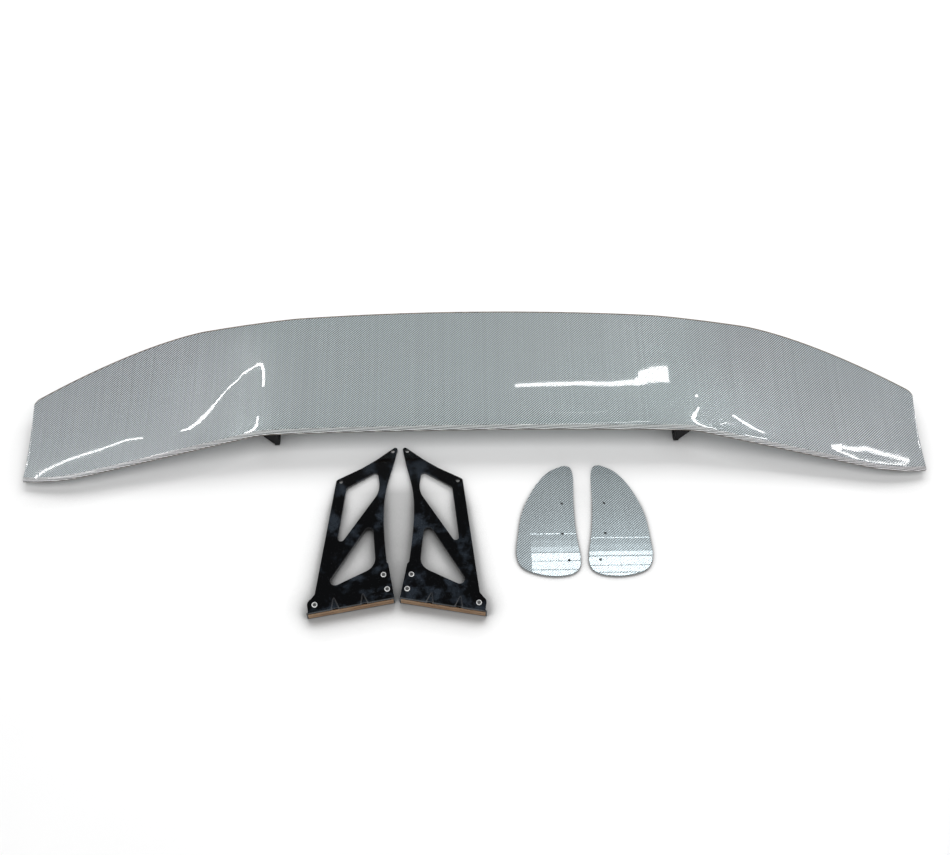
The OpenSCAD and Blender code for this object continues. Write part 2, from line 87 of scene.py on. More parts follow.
class Shader:
    """A material's node tree, written as short calls."""

    def __init__(self, name):
        self.material = bpy.data.materials.new(name)
        self.material.use_nodes = True
        self.tree = self.material.node_tree
        self.tree.nodes.clear()

    def node(self, kind, **settings):
        made = self.tree.nodes.new(kind)
        for key, value in settings.items():
            setattr(made, key, value)
        return made

    def put(self, socket, value):
        if isinstance(value, bpy.types.NodeSocket):
            self.tree.links.new(value, socket)
        else:
            socket.default_value = value

    def math(self, operation, *values):
        made = self.node("ShaderNodeMath", operation=operation)
        for socket, value in zip(made.inputs, values):
            self.put(socket, value)
        return made.outputs[0]

    def remap(self, value, low, high, to_low=0.0, to_high=1.0):
        made = self.node("ShaderNodeMapRange")
        for socket, item in zip(made.inputs, (value, low, high, to_low, to_high)):
            self.put(socket, item)
        return made.outputs[0]

    def mix(self, factor, first, second):
        made = self.node("ShaderNodeMix", data_type="RGBA")
        self.put(made.inputs[0], factor)
        self.put(made.inputs[6], first)
        self.put(made.inputs[7], second)
        return made.outputs[2]

    def scaled(self, colour, factors):
        """A colour times three numbers."""
        made = self.node("ShaderNodeVectorMath", operation="MULTIPLY")
        self.put(made.inputs[0], colour)
        self.put(made.inputs[1], factors)
        return made.outputs[0]

    def place(self, scale=(1, 1, 1)):
        """Object coordinates, in metres, times a scale."""
        coordinates = self.node("ShaderNodeTexCoord").outputs["Object"]
        made = self.node("ShaderNodeVectorMath", operation="MULTIPLY")
        self.put(made.inputs[0], coordinates)
        self.put(made.inputs[1], scale)
        return made.outputs[0]

    def axis(self, letter):
        """One coordinate of the place on the object, in metres."""
        split = self.node("ShaderNodeSeparateXYZ")
        self.put(split.inputs[0], self.place())
        return split.outputs[letter]

    def noise(self, vector, scale, detail=2.0, roughness=0.5):
        made = self.node("ShaderNodeTexNoise")
        self.put(made.inputs["Vector"], vector)
        self.put(made.inputs["Scale"], scale)
        self.put(made.inputs["Detail"], detail)
        self.put(made.inputs["Roughness"], roughness)
        return made.outputs["Fac"]

    def bump(self, height, strength, distance):
        made = self.node("ShaderNodeBump")
        self.put(made.inputs["Strength"], strength)
        self.put(made.inputs["Distance"], distance)
        self.put(made.inputs["Height"], height)
        return made.outputs[0]

    def finish(self, **inputs):
        """Principled shader with the given sockets, joined to the output."""
        made = self.node("ShaderNodeBsdfPrincipled")
        for key, value in inputs.items():
            self.put(made.inputs[key.replace("_", " ")], value)
        output = self.node("ShaderNodeOutputMaterial")
        self.tree.links.new(made.outputs[0], output.inputs[0])
        return self.material


# ---- materials ----

# Widths of the cloth's tows, along the span and across it
TOW = 1.25 * MM
WEFT_TOW = 1.1 * MM


def twill(name, bright, dark, patchy, coat_wave):
    """Silver 2 by 2 twill under a clear coat, woven along the cloth map."""
    g = Shader(name)
    split = g.node("ShaderNodeSeparateXYZ")
    g.put(split.inputs[0], g.node("ShaderNodeUVMap", uv_map="cloth").outputs[0])
    drift = g.noise(g.place(), 9.0, 2.0)
    drift_v = g.noise(g.place((1, -1, 1)), 7.0, 2.0)
    a = g.math("ADD", g.math("DIVIDE", split.outputs[0], TOW), g.remap(drift, 0, 1, -1.2, 1.2))
    b = g.math("ADD", g.math("DIVIDE", split.outputs[1], WEFT_TOW),
               g.remap(drift_v, 0, 1, -1.2, 1.2))
    warp = g.math("FLOOR", a)
    weft = g.math("FLOOR", b)

    def round_tow(value):
        """Height across a tow: 0 at its edges, 1 along its middle."""
        return g.math("SINE", g.math("MULTIPLY", g.math("FRACT", value), math.pi))

    def float_wave(value):
        """Height along a tow that goes over two and under two."""
        return g.math("SINE", g.math("MULTIPLY", value, math.pi / 2))

    warp_long = float_wave(g.math("SUBTRACT", warp, b))
    weft_long = g.math("MULTIPLY", float_wave(g.math("SUBTRACT", a, weft)), -1.0)
    warp_height = g.math("MULTIPLY_ADD", round_tow(a), 0.55, warp_long)
    weft_height = g.math("MULTIPLY_ADD", round_tow(b), 0.55, weft_long)
    height = g.math("MAXIMUM", warp_height, weft_height)
    over = g.math("GREATER_THAN", warp_height, weft_height)

    # Silvered warp over darker weft; the cloth's contrast and tint drift over the piece
    even = tuple((x + y) / 2 for x, y in zip(bright, dark))
    soften = g.remap(g.noise(g.place(), 4.5, 4.0, 0.6), 0.36, 0.64, 0.0, patchy)
    warp_tint = g.mix(soften, bright, even)
    weft_tint = g.mix(soften, dark, even)
    tint = g.mix(over, weft_tint, warp_tint)
    groove = g.remap(height, 0.1, 1.0, 0.55, 0.0)
    tint = g.mix(groove, tint, (0.04, 0.045, 0.048, 1))
    lone = g.node("ShaderNodeTexWhiteNoise", noise_dimensions="2D")
    tow_id = g.node("ShaderNodeCombineXYZ")
    g.put(tow_id.inputs[0], g.math("MULTIPLY", warp, over))
    g.put(tow_id.inputs[1], g.math("MULTIPLY", weft, g.math("SUBTRACT", 1.0, over)))
    g.put(lone.inputs["Vector"], tow_id.outputs[0])
    tint = g.mix(g.math("MULTIPLY", lone.outputs["Value"], 0.22), tint, (0.2, 0.215, 0.22, 1))
    cloud = g.remap(g.noise(g.place((1, 1.5, 1)), 2.2, 3.0, 0.55), 0.38, 0.62, 0.0, 0.5)
    tint = g.mix(cloud, tint, g.scaled(tint, (1.02, 0.96, 0.97)))
    # Outboard of the creases the tint is a little redder and lighter
    span = g.math("ABSOLUTE", g.axis("X"))
    outer = g.remap(span, 0.38, 0.52)
    tint = g.mix(outer, tint, g.scaled(tint, (1.04, 1.0, 1.02)))

    # The coat is nearly flat, with a faint print of the cloth and slow waves
    peel = g.math("MULTIPLY_ADD", g.noise(g.place(), 260.0, 1.0), 0.35,
                  g.noise(g.place(), 60.0, 2.0))
    coat_height = g.math("MULTIPLY_ADD", peel, 0.5, g.math("MULTIPLY", height, 0.06))
    roughness = g.remap(g.noise(g.place(), 40.0, 4.0, 0.6), 0.3, 0.7, 0.48, 0.6)
    return g.finish(
        Base_Color=tint, Metallic=0.15, Roughness=roughness,
        Normal=g.bump(height, 0.6, 0.18 * MM),
        Coat_Weight=1.0, Coat_Roughness=0.015, Coat_IOR=1.5,
        Coat_Normal=g.bump(coat_height, coat_wave, 0.4 * MM))


def black_gloss():
    """Gloss black powder coat: orange peel, faint dust and greyer, bluish patches of painted
    sheen.
    """
    g = Shader("black_gloss")
    # Painted sheen: bluish-grey patches in the base colour, a little rougher there
    patches = g.remap(g.noise(g.place(), 24.0, 5.0, 0.62), 0.49, 0.60)
    colour = g.mix(patches, (0.0012, 0.0014, 0.0018, 1), (0.014, 0.019, 0.026, 1))
    dust = g.math("GREATER_THAN", g.noise(g.place(), 900.0, 1.0), 0.76)
    colour = g.mix(g.math("MULTIPLY", dust, 0.25), colour, (0.25, 0.26, 0.28, 1))
    roughness = g.remap(patches, 0, 1, 0.07, 0.22)
    peel = g.noise(g.place(), 420.0, 2.0)
    wave = g.noise(g.place(), 30.0, 1.0)
    height = g.math("MULTIPLY_ADD", wave, 2.5, peel)
    return g.finish(
        Base_Color=colour, Roughness=roughness, Specular_IOR_Level=0.5,
        Normal=g.bump(height, 0.25, 0.12 * MM),
        Coat_Weight=0.35, Coat_Roughness=0.05)


def black_satin():
    """Satin black powder coat of the lugs, with a fine grain."""
    g = Shader("black_satin")
    grain = g.noise(g.place(), 700.0, 2.0)
    colour = g.mix(grain, (0.0015, 0.0015, 0.0018, 1), (0.006, 0.006, 0.007, 1))
    return g.finish(
        Base_Color=colour, Roughness=g.remap(grain, 0.3, 0.7, 0.5, 0.65),
        Specular_IOR_Level=0.12, Normal=g.bump(grain, 0.15, 0.08 * MM))


def laminate_edge():
    """Raw trimmed laminate and resin: tan, dull, with fine layers and dark specks."""
    g = Shader("laminate_edge")
    layers = g.noise(g.place((30, 30, 900)), 3.0, 3.0, 0.6)
    colour = g.mix(g.remap(layers, 0.35, 0.65), (0.10, 0.085, 0.07, 1), (0.25, 0.215, 0.175, 1))
    specks = g.remap(g.noise(g.place(), 300.0, 3.0, 0.7), 0.55, 0.75)
    colour = g.mix(specks, colour, (0.10, 0.075, 0.055, 1))
    return g.finish(
        Base_Color=colour, Roughness=g.remap(layers, 0.3, 0.7, 0.5, 0.75),
        Normal=g.bump(layers, 0.4, 0.1 * MM))


def resin_and_shade_line():
    """Dark brown resin squeezed out along a joint, glossy in places; under the nose it is partly
    painted shade.
    """
    g = Shader("resin_and_shade_line")
    blotch = g.noise(g.place((40, 400, 400)), 3.0, 3.0, 0.6)
    colour = g.mix(g.remap(blotch, 0.35, 0.65), (0.045, 0.035, 0.026, 1), (0.13, 0.10, 0.072, 1))
    return g.finish(
        Base_Color=colour, Roughness=g.remap(blotch, 0.3, 0.7, 0.35, 0.6),
        Normal=g.bump(blotch, 0.3, 0.1 * MM))


def tape_liner():
    """Brown waxed paper liner with fibres, creases and a slight sheen."""
    g = Shader("tape_liner")
    fibres = g.noise(g.place((60, 400, 400)), 4.0, 4.0, 0.65)
    blotch = g.noise(g.place(), 40.0, 3.0)
    colour = g.mix(g.remap(fibres, 0.35, 0.65), (0.155, 0.085, 0.042, 1), (0.29, 0.18, 0.10, 1))
    colour = g.mix(g.remap(blotch, 0.4, 0.7, 0, 0.5), colour, (0.36, 0.25, 0.16, 1))
    return g.finish(
        Base_Color=colour, Roughness=g.remap(blotch, 0.3, 0.7, 0.35, 0.6),
        Normal=g.bump(g.math("ADD", fibres, blotch), 0.35, 0.15 * MM))


def metal(name, light, dark, roughness, grain):
    """Turned or brushed metal: fine grain, small scratches and cloudy wear."""
    g = Shader(name)
    lines = g.noise(g.place(grain), 6.0, 3.0, 0.6)
    cloud = g.noise(g.place(), 160.0, 3.0)
    colour = g.mix(g.remap(cloud, 0.35, 0.7), light, dark)
    return g.finish(
        Base_Color=colour, Metallic=1.0,
        Roughness=g.remap(g.math("ADD", lines, cloud), 0.7, 1.3, roughness, roughness + 0.16),
        Normal=g.bump(lines, 0.15, 0.03 * MM))


def fibre_core():
    """Uncoated woven laminate of the spars and ribs: dark, dull, with a coarse grain."""
    g = Shader("fibre_core")
    wave = g.node("ShaderNodeTexWave", wave_type="BANDS", bands_direction="DIAGONAL")
    g.put(wave.inputs["Vector"], g.place())
    g.put(wave.inputs["Scale"], 130.0)
    g.put(wave.inputs["Distortion"], 1.5)
    patches = g.noise(g.place(), 35.0, 3.0)
    colour = g.mix(wave.outputs["Fac"], (0.016, 0.017, 0.018, 1), (0.06, 0.062, 0.064, 1))
    return g.finish(
        Base_Color=colour, Roughness=g.remap(patches, 0.3, 0.7, 0.45, 0.7),
        Normal=g.bump(wave.outputs["Fac"], 0.4, 0.15 * MM))


def dense_core():
    """Dense block between the skins: pale brown with a faint grain along the span."""
    g = Shader("dense_core")
    rings = g.noise(g.place((20, 240, 240)), 4.0, 4.0, 0.6)
    colour = g.mix(g.remap(rings, 0.3, 0.7), (0.30, 0.21, 0.11, 1), (0.50, 0.38, 0.22, 1))
    return g.finish(
        Base_Color=colour, Roughness=g.remap(rings, 0.3, 0.7, 0.55, 0.75),
        Normal=g.bump(rings, 0.3, 0.1 * MM))


SILVER = (0.65, 0.75, 0.76, 1)
SMOKE = (0.055, 0.07, 0.073, 1)
FINISHES = {
    "silver_twill": twill("silver_twill", SILVER, SMOKE, 0.6, 0.05),
    "end_plate_twill": twill(
        "end_plate_twill", (0.58, 0.67, 0.69, 1), (0.045, 0.06, 0.068, 1), 0.3, 0.012),
    "laminate_edge": laminate_edge(),
    "core_laminate": fibre_core(),
    "core_block": dense_core(),
    "black_coat": black_gloss(),
    "tape_liner": tape_liner(),
    "bright_steel": metal(
        "bright_steel", (0.86, 0.86, 0.85, 1), (0.66, 0.67, 0.68, 1), 0.16, (80, 80, 900)),
    "brass": metal("brass", (0.78, 0.60, 0.28, 1), (0.55, 0.40, 0.17, 1), 0.22, (900, 80, 80)),
}
RESIN_AND_SHADE = resin_and_shade_line()
# Lighter copy of the twill for the strip over the nose: painted sheen of the rolled nose
NOSE_SHEEN_CLOTH = twill("nose_sheen_cloth", (0.82, 0.86, 0.85, 1), (0.10, 0.11, 0.11, 1), 0.1, 0.05)
LUG_BLACK = black_satin()
NODE_SLOT = {s["node"]: s["material_slot"] for s in frame["record"]["subparts"]}


# ---- mesh helpers ----

def piece(name, mesh, body, *nodes, slot=None):
    """A finished object that rides on a body and stands for the named CAD nodes."""
    made = bpy.data.objects.new(name, mesh)
    bpy.context.scene.collection.objects.link(made)
    slot = slot or NODE_SLOT[nodes[0]]
    mesh.materials.append(FINISHES[slot])
    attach(made, body)
    if nodes:
        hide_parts(*nodes)
    return made


def mesh_from(name, points, faces, sharp_angle=35.0):
    """Mesh with outward faces, smooth but for edges sharper than an angle in degrees."""
    mesh = bpy.data.meshes.new(name)
    mesh.from_pydata([tuple(p) for p in points], [], faces)
    bm = bmesh.new()
    bm.from_mesh(mesh)
    bmesh.ops.recalc_face_normals(bm, faces=bm.faces)
    bm.to_mesh(mesh)
    bm.free()
    mesh.shade_smooth()
    mesh.set_sharp_from_angle(angle=math.radians(sharp_angle))
    return mesh


def shell(name, outer, inner, cloth=None, sharp_angle=35.0):
    """Closed mesh between two matching grids of points, joined round their rims."""
    rows, columns = outer.shape[:2]
    points = np.concatenate([outer.reshape(-1, 3), inner.reshape(-1, 3)])
    index = np.arange(rows * columns).reshape(rows, columns)
    first = [index[:-1, :-1], index[1:, :-1], index[1:, 1:], index[:-1, 1:]]
    top = np.stack([part.ravel() for part in first], axis=1)
    below = top[:, ::-1] + rows * columns
    rim = np.concatenate([
        index[0, :], index[1:, -1], index[-1, -2::-1], index[-2:0:-1, 0]])
    after = np.roll(rim, -1)
    walls = np.stack([rim, after, after + rows * columns, rim + rows * columns], axis=1)
    faces = np.concatenate([top, below, walls]).tolist()
    mesh = mesh_from(name, points, faces, sharp_angle)
    if cloth is not None:
        lay_cloth(mesh, np.concatenate([cloth.reshape(-1, 2)] * 2))
    return mesh


def lay_cloth(mesh, by_vertex):
    """UV map named cloth, in metres, from one pair of numbers for each vertex."""
    layer = mesh.uv_layers.new(name="cloth")
    vertex = np.empty(len(mesh.loops), np.int32)
    mesh.loops.foreach_get("vertex_index", vertex)
    layer.data.foreach_set("uv", by_vertex[vertex].astype(np.float32).ravel())


def round_edges(made, width, segments=2, angle=50.0):
    """Rounds the edges sharper than an angle in degrees."""
    modifier = made.modifiers.new("edges", "BEVEL")
    modifier.width = width
    modifier.segments = segments
    modifier.limit_method = "ANGLE"
    modifier.angle_limit = math.radians(angle)
    modifier.harden_normals = False
    return made


def flat_plate(name, outlines, thickness, edge):
    """Flat plate from z = 0 to its thickness, with rounded rims and holes."""
    curve = bpy.data.curves.new(name, "CURVE")
    curve.dimensions = "2D"
    curve.fill_mode = "BOTH"
    curve.extrude = thickness / 2 - edge
    curve.bevel_depth = edge
    curve.bevel_resolution = 2
    curve.offset = -edge
    for outline in outlines:
        spline = curve.splines.new("POLY")
        spline.points.add(len(outline) - 1)
        for point, (x, y) in zip(spline.points, outline):
            point.co = (x, y, 0, 1)
        spline.use_cyclic_u = True
    holder = bpy.data.objects.new(name, curve)
    bpy.context.scene.collection.objects.link(holder)
    graph = bpy.context.evaluated_depsgraph_get()
    mesh = bpy.data.meshes.new_from_object(holder.evaluated_get(graph))
    bpy.data.objects.remove(holder)
    bpy.data.curves.remove(curve)
    mesh.transform(Matrix.Translation((0, 0, thickness / 2)))
    bm = bmesh.new()
    bm.from_mesh(mesh)
    bmesh.ops.remove_doubles(bm, verts=bm.verts, dist=0.002 * MM)
    bmesh.ops.recalc_face_normals(bm, faces=bm.faces)
    bm.to_mesh(mesh)
    bm.free()
    mesh.name = name
    mesh.shade_smooth()
    mesh.set_sharp_from_angle(angle=math.radians(40))
    # The rounded rims must not bend the shading of the two flat faces
    for face in mesh.polygons:
        face.use_smooth = abs(face.normal.z) < 0.999
    return mesh


def put_in_place(mesh, matrix):
    """Moves a mesh into the row frame, and turns its faces out again if mirrored."""
    mesh.transform(matrix)
    if matrix.determinant() < 0:
        mesh.flip_normals()
    return mesh


def joined(name, meshes, sharp_angle=35.0):
    """One mesh from several."""
    bm = bmesh.new()
    for mesh in meshes:
        bm.from_mesh(mesh)
        bpy.data.meshes.remove(mesh)
    made = bpy.data.meshes.new(name)
    bm.to_mesh(made)
    bm.free()
    made.shade_smooth()
    made.set_sharp_from_angle(angle=math.radians(sharp_angle))
    return made


# ---- outlines, as in the CAD source ----

def corner(a, c, b, radius, steps=10):
    """Points of one rounded corner c between its neighbours a and b."""
    a, c, b = (np.array(p[:2], float) for p in (a, c, b))
    u = (a - c) / np.linalg.norm(a - c)
    v = (b - c) / np.linalg.norm(b - c)
    half = math.acos(float(u @ v)) / 2
    reach = radius / math.tan(half)
    middle = c + (u + v) / np.linalg.norm(u + v) * radius / math.sin(half)
    p = c + u * reach - middle
    q = c + v * reach - middle
    turn = math.atan2(p[0] * q[1] - p[1] * q[0], float(p @ q))
    points = []
    for i in range(steps + 1):
        t = turn * i / steps
        points.append(middle + [p[0] * math.cos(t) - p[1] * math.sin(t),
                                p[0] * math.sin(t) + p[1] * math.cos(t)])
    return points


def rounded(corners):
    """Closed outline from (x, y, radius) corners in mm, where 0 keeps the point."""
    points = []
    for i, c in enumerate(corners):
        if c[2] == 0:
            points.append(np.array(c[:2], float))
        else:
            points.extend(corner(corners[i - 1], c, corners[(i + 1) % len(corners)], c[2]))
    return np.array(points) * MM


def curve_point(p0, p1, p2, p3, t):
    """Catmull-Rom point between p1 and p2."""
    p0, p1, p2, p3 = (np.array(p, float) for p in (p0, p1, p2, p3))
    return 0.5 * (2 * p1 + (p2 - p0) * t + (2 * p0 - 5 * p1 + 4 * p2 - p3) * t ** 2
                  + (3 * p1 - p0 - 3 * p2 + p3) * t ** 3)


def open_curve(p, steps):
    """Smooth curve through points, without the last one."""
    last = len(p) - 1
    return [curve_point(p[max(0, i - 1)], p[i], p[i + 1], p[min(last, i + 2)], k / steps)
            for i in range(last) for k in range(steps)]


def closed_curve(p, steps):
    """Smooth closed curve through points in mm."""
    m = len(p)
    return np.array([
        curve_point(p[(i - 1) % m], p[i], p[(i + 1) % m], p[(i + 2) % m], k / steps)
        for i in range(m) for k in range(steps)]) * MM


def circle(centre, radius, steps=32):
    """Closed outline of a round hole."""
    return [(centre[0] + radius * math.cos(2 * math.pi * i / steps),
             centre[1] + radius * math.sin(2 * math.pi * i / steps)) for i in range(steps)]


# ---- the blade ----

HALF_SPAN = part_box("upper_skin")[1].x
CREASE_X = 387 * MM
CREASE_BLEND = 18 * MM
CHORD_MID = 237 * MM
LE_BOW = 5.6 * MM
LE_SWEEP = 0.2
LE_CURL = 19 * MM
LE_CURL_FROM = 690 * MM
LE_RISE = (56 * MM, 12 * MM)
TE_BOW = 27.8 * MM
TE_SWEEP = 81 * MM
TE_SWEEP_FROM = 500 * MM
TE_SWEEP_POWER = 1.56
TE_DROOP_FROM = 330 * MM
TE_DROOP_POWER = 1.25
TE_RISE = (90 * MM, 35 * MM)
# The tip's rear corner is rounded off
TIP_R = 9 * MM
THICK = (0.11, 0.10)
# Outboard, the top is flat right behind a small rolled nose of this height and depth
NOSE_H = 4.5 * MM
NOSE_DEPTH = 9.5 * MM
NOSE_FROM = 420 * MM
NOSE_FULL = 700 * MM
CAMBER = (0.055, 0.042)
DISH = 0.022
DISH_X = 470 * MM
DISH_W = 110 * MM
DISH_FADE = 40 * MM
SKIN_T = 1.2 * MM
SEAM_T = 0.6 * MM
TE_T = 3 * MM
# Cloth strip over the nose: its depth, how far it stands proud and how deep it sits
NOSE_WRAP = 8 * MM
WRAP_PROUD = 0.3 * MM
WRAP_BURIED = 0.5 * MM
# Resin line under the nose, partly painted shade
SEAM_PROUD = 0.12 * MM
SEAM_BURIED = 0.4 * MM
# Where the resin line ends on the top, and the cloth strip starts
WRAP_FROM_Q = 0.035
CHORD_STEPS = 84
# The lug's pivot hole stands this far behind the leading edge over it
LUG_X = abs(MOUNTS["left_lug_pivot_hole"]["pos_m"][0])
PIVOT_SETBACK = 22 * MM
Y_BLADE = (MOUNTS["left_lug_pivot_hole"]["pos_m"][1] - PIVOT_SETBACK
           + LE_BOW * (LUG_X / CREASE_X) ** 2)


def ramp(d, r):
    """Zero, then a rounded start, then a straight climb."""
    return np.where(d <= -r, 0, np.where(d >= r, d, (d + r) ** 2 / (4 * r)))


def smooth(t):
    """0 to 1 with soft ends."""
    t = np.clip(t, 0, 1)
    return t * t * (3 - 2 * t)


def le_point(s):
    """Leading edge's Y and Z at a distance s from the middle."""
    out = ramp(s - CREASE_X, CREASE_BLEND)
    bow = np.minimum(s / CREASE_X, 1)
    curl = np.maximum(0, s - LE_CURL_FROM) / (HALF_SPAN - LE_CURL_FROM)
    drop = (LE_RISE[0] - LE_RISE[1]) * out / (HALF_SPAN - CREASE_X)
    return (Y_BLADE - LE_BOW * bow ** 2 - LE_SWEEP * out + LE_CURL * curl ** 2,
            FLOOR_Z + LE_RISE[0] - drop)


def te_point(s):
    """Trailing edge's Y and Z at a distance s from the middle."""
    sweep = np.maximum(0, s - TE_SWEEP_FROM) / (HALF_SPAN - TE_SWEEP_FROM)
    droop = np.maximum(0, s - TE_DROOP_FROM) / (HALF_SPAN - TE_DROOP_FROM)
    near_tip = np.clip(1 - (HALF_SPAN - s) / TIP_R, 0, 1)
    rounding = TIP_R * (1 - np.sqrt(1 - near_tip ** 2))
    return (Y_BLADE + CHORD_MID - TE_BOW * (s / TE_SWEEP_FROM) ** 2
            - TE_SWEEP * sweep ** TE_SWEEP_POWER - rounding,
            FLOOR_Z + TE_RISE[0] - (TE_RISE[0] - TE_RISE[1]) * droop ** TE_DROOP_POWER)


def half_section(xi):
    """Half thickness of the blade's section for a thickness of 1, with a closed tail."""
    return 5 * (0.2969 * np.sqrt(xi) - 0.126 * xi - 0.3516 * xi ** 2
                + 0.2843 * xi ** 3 - 0.1036 * xi ** 4)


def skin_point(x, q, side):
    """Outer surface at q from 0, leading edge, to 1, trailing edge; side 1 is the top."""
    s = np.abs(x)
    xi = q * q
    le_y, le_z = le_point(s)
    te_y, te_z = te_point(s)
    chord_y, chord_z = te_y - le_y, te_z - le_z
    c = np.hypot(chord_y, chord_z)
    out = np.clip((s - CREASE_X) / (HALF_SPAN - CREASE_X), 0, 1)
    dish = (DISH * np.exp(-((s - DISH_X) / DISH_W) ** 2)
            * smooth((s - CREASE_X + DISH_FADE) / (2 * DISH_FADE)))
    camber = CAMBER[0] + (CAMBER[1] - CAMBER[0]) * out + dish
    thick = THICK[0] + (THICK[1] - THICK[0]) * out
    even = half_section(xi) * thick * c
    rolled = NOSE_H * (1 - xi) * np.sqrt(1 - (1 - np.minimum(1, xi * c / NOSE_DEPTH)) ** 2)
    share = smooth((s - NOSE_FROM) / (NOSE_FULL - NOSE_FROM))
    top = even + (rolled - even) * share
    half_t = (top if side > 0 else 2 * even - top) + (TE_T - SEAM_T) / 2 * xi + SEAM_T / 2
    lift = side * half_t - 4 * camber * c * xi * (1 - xi)
    return np.stack([x, le_y + chord_y * xi - chord_z / c * lift,
                     le_z + chord_z * xi + chord_y / c * lift], -1)


def inset(x, q, side, depth):
    """The same surface moved inwards by a depth."""
    step = 0.01
    along = (skin_point(x, np.minimum(1, q + step), side)
             - skin_point(x, np.maximum(0, q - step), side))[..., 1:]
    along /= np.linalg.norm(along, axis=-1, keepdims=True)
    moved = skin_point(x, q, side)
    moved[..., 1] += depth * side * along[..., 1]
    moved[..., 2] -= depth * side * along[..., 0]
    return moved


def stations():
    """Places along the span, close together at the creases."""
    start, end = CREASE_X - 2.5 * CREASE_BLEND, CREASE_X + 4 * CREASE_BLEND
    half = np.concatenate([
        np.linspace(0, start, 40, endpoint=False), np.linspace(start, end, 60, endpoint=False),
        np.linspace(end, HALF_SPAN - TIP_R, 70, endpoint=False),
        HALF_SPAN - TIP_R * (1 - np.sin(np.linspace(0, math.pi / 2, 9)))])
    return np.concatenate([-half[:0:-1], half])


def make_skin(name, node, side):
    """Upper or lower skin, a shell with its cloth map."""
    x, q = np.meshgrid(stations(), np.linspace(0, 1, CHORD_STEPS + 1), indexing="ij")
    outer = inset(x, q, side, 0.0)
    inner = inset(x, q, side, SKIN_T)
    girth = np.linalg.norm(np.diff(outer[..., 1:], axis=1), axis=-1)
    girth = np.concatenate([np.zeros((len(x), 1)), np.cumsum(girth, axis=1)], axis=1)
    cloth = np.stack([x, outer[:, :1, 1] + girth * (1 if side > 0 else -1)], -1)
    mesh = shell(name, outer, inner, cloth, sharp_angle=50)
    made = piece(name, mesh, "blade", node)
    return round_edges(made, 0.3 * MM, 2, 60)


def swept_bead(name, centres, ups, backs, profile):
    """Closed bar along the span with one small profile of (back, up) points in mm."""
    rings = [centres + backs * (u * MM) + ups * (v * MM) for u, v in profile]
    return ring_mesh(name, np.stack(rings, axis=1))


def ring_mesh(name, rings):
    """Closed bar through matching rings of points."""
    count, sides = rings.shape[:2]
    index = np.arange(count * sides).reshape(count, sides)
    after = np.roll(index, -1, axis=1)
    faces = np.stack([index[:-1], index[1:], after[1:], after[:-1]], -1).reshape(-1, 4).tolist()
    faces += [index[0].tolist(), index[-1][::-1].tolist()]
    return mesh_from(name, rings.reshape(-1, 3), faces, 40)


def edge_frames():
    """Points along the trailing edge with the chord's and its normal's directions."""
    x = stations()
    le = np.stack(le_point(np.abs(x)), -1)
    te = np.stack(te_point(np.abs(x)), -1)
    back = (te - le) / np.linalg.norm(te - le, axis=-1, keepdims=True)
    zero = np.zeros(len(x))
    backs = np.stack([zero, back[:, 0], back[:, 1]], -1)
    ups = np.stack([zero, -back[:, 1], back[:, 0]], -1)
    centres = np.stack([x, *te.T], -1)
    return centres, ups, backs


def make_edge_bond():
    """Trimmed laminate along the trailing edge."""
    half = TE_T / MM / 2 + 0.06
    tail = [(-2.0, half), (-0.1, half), (0.35, half - 0.5), (0.35, 0.5 - half),
            (-0.1, -half), (-2.6, -half), (-2.6, -0.8), (-2.0, 0.8)]
    mesh = swept_bead("wing_edge_bond", *edge_frames(), tail)
    return piece("wing_edge_bond", mesh, "blade", "edge_bond")


def make_nose_seam():
    """Resin line along the joint under the nose, a little proud of the skins; partly painted
    shade under the nose.
    """
    x = stations()
    path = [(0.04, 1), (0.02, 1), (0.0, 1), (0.0, -1)]
    path += [(q, -1) for q in np.linspace(0.02, 0.11, 6)]
    rings = [inset(x, np.full_like(x, q), side, -SEAM_PROUD) for q, side in path]
    rings += [inset(x, np.full_like(x, q), side, SEAM_BURIED) for q, side in reversed(path)]
    mesh = ring_mesh("wing_nose_seam", np.stack(rings, axis=1))
    made = piece("wing_nose_seam", mesh, "blade", slot="laminate_edge")
    made.data.materials[0] = RESIN_AND_SHADE
    return made


def make_nose_sheen_wrap():
    """Narrow strip of cloth laid over the nose, a little proud of the upper skin; its lighter
    twill is painted sheen of the rolled nose.
    """
    x, t = np.meshgrid(stations(), np.linspace(0, 1, 9), indexing="ij")
    s = np.abs(x)
    last_q = np.sqrt(NOSE_WRAP / (te_point(s)[0] - le_point(s)[0]))
    q = WRAP_FROM_Q + t * (last_q - WRAP_FROM_Q)
    outer = inset(x, q, 1, -WRAP_PROUD)
    inner = inset(x, q, 1, WRAP_BURIED)
    cloth = np.stack([0.8 * x - outer[..., 1], 0.8 * x + outer[..., 1]], -1)
    mesh = shell("wing_nose_sheen_wrap", outer, inner, cloth, sharp_angle=50)
    made = piece("wing_nose_sheen_wrap", mesh, "blade", slot="silver_twill")
    made.data.materials[0] = NOSE_SHEEN_CLOTH
    return made


make_skin("wing_upper_skin", "upper_skin", 1)
make_skin("wing_lower_skin", "lower_skin", -1)
make_edge_bond()
make_nose_seam()
make_nose_sheen_wrap()


# ---- uprights ----

PLATE_T = 5
BRACKET_T = 3
FOOT_W = 20
FOOT_LEN = 148
